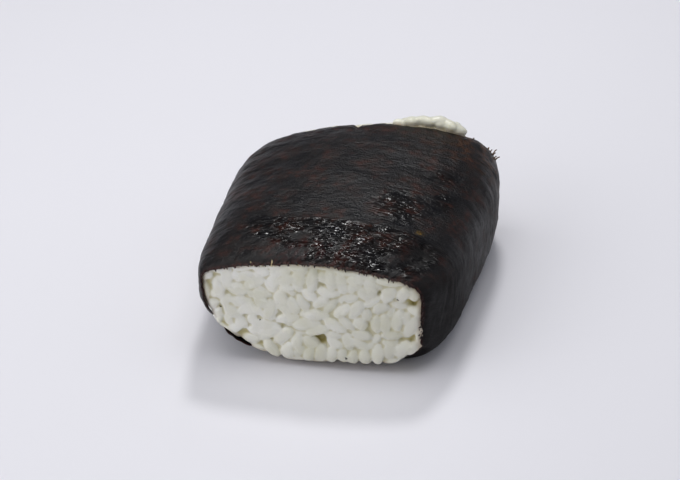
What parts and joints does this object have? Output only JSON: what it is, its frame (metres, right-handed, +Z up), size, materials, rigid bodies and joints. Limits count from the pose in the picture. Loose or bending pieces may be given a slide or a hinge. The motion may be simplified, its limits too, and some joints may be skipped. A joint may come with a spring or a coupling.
{
  "type": "onigiri rice ball",
  "caption": "Block of pressed white rice lying on its broad side, wrapped in a strip of nori that leaves bare rice at the front face, the back and along the lower left.",
  "frame": {"origin": "on the floor, under the middle of the box round the whole rice ball", "axes": "+X along the open front face, from its nori-free lower left corner to its square right end; +Y from the front face to the back; +Z up"},
  "size_m": [0.0774, 0.0756, 0.038],
  "materials": {
    "rice": "satin",
    "nori": "satin"
  },
  "bodies": {
    "root": {"rice": "rice", "nori": "nori"}
  },
  "joints": []
}
